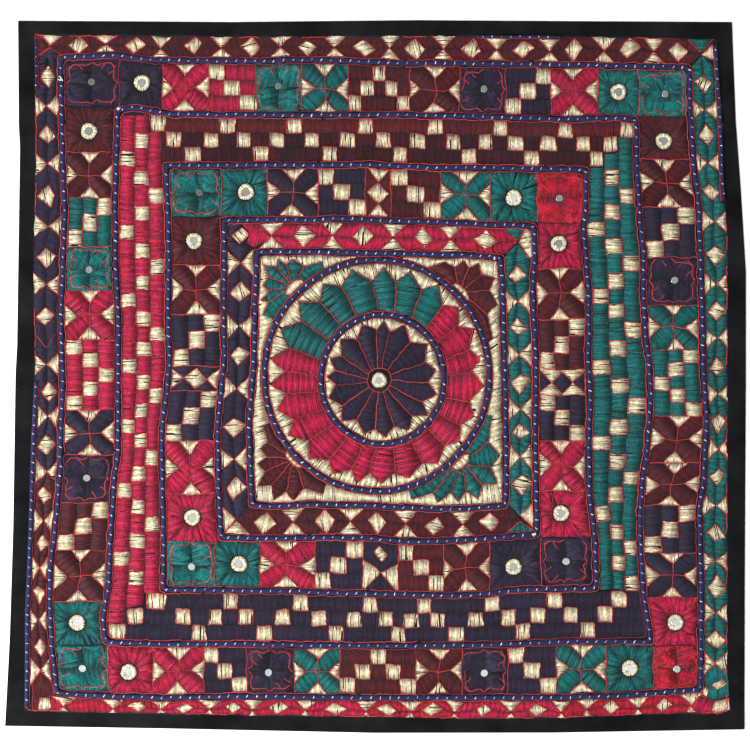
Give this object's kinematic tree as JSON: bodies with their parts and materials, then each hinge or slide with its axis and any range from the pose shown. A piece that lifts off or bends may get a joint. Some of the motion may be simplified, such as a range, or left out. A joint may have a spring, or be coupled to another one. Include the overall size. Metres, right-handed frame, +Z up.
{
  "type": "embroidered mirror-work tablecloth",
  "caption": "Square tablecloth of dense satin-stitch embroidery in nested bands round a flower medallion, with stitched-in mirrors, blue couched cords and a plain black border, laid flat.",
  "frame": {"origin": "on the surface that the cloth lies on, under the middle of its outline", "axes": "+X to the cloth's right and +Y to its top side as seen from above the stitched face, +Z up, out of the stitched face"},
  "size_m": [1.0374, 0.9979, 0.0047],
  "materials": {
    "embroidery": "cotton ground under dense satin stitches in crimson, plum, maroon, teal and cream floss with a soft silky sheen",
    "border_cotton": "matt black plain-woven cotton, slightly faded and creased",
    "cord_wool": "blue laid yarn cord held down by short white slanting stitches",
    "mirror_disc": "small hand-cut glass mirrors, slightly dull and scratched"
  },
  "bodies": {
    "root": {"embroidered_panel": "embroidery", "border_top": "border_cotton", "border_right": "border_cotton", "border_bottom": "border_cotton", "border_left": "border_cotton", "square_cord_1": "cord_wool", "square_cord_2": "cord_wool", "square_cord_3": "cord_wool", "square_cord_4": "cord_wool", "square_cord_5": "cord_wool", "round_cord_outer": "cord_wool", "round_cord_inner": "cord_wool", "edge_cord_left_top": "cord_wool", "edge_cord_left_bottom": "cord_wool", "edge_cord_right": "cord_wool", "edge_cord_top": "cord_wool", "mirror_star_1": "mirror_disc", "mirror_ring_2": "mirror_disc", "mirror_star_3": "mirror_disc", "mirror_star_4": "mirror_disc", "mirror_ring_5": "mirror_disc", "mirror_star_6": "mirror_disc", "mirror_ring_7": "mirror_disc", "mirror_star_8": "mirror_disc", "mirror_ring_9": "mirror_disc", "mirror_star_10": "mirror_disc", "mirror_ring_11": "mirror_disc", "mirror_star_12": "mirror_disc", "mirror_star_13": "mirror_disc", "mirror_ring_14": "mirror_disc", "mirror_star_15": "mirror_disc", "mirror_ring_16": "mirror_disc", "mirror_star_17": "mirror_disc", "mirror_star_18": "mirror_disc", "mirror_ring_19": "mirror_disc", "mirror_star_20": "mirror_disc", "mirror_ring_21": "mirror_disc", "mirror_ring_22": "mirror_disc", "mirror_star_23": "mirror_disc", "mirror_ring_24": "mirror_disc", "mirror_ring_25": "mirror_disc", "mirror_star_26": "mirror_disc", "mirror_ring_27": "mirror_disc", "mirror_ring_28": "mirror_disc", "mirror_star_29": "mirror_disc", "mirror_ring_30": "mirror_disc", "mirror_ring_31": "mirror_disc", "mirror_centre_32": "mirror_disc"}
  },
  "joints": []
}
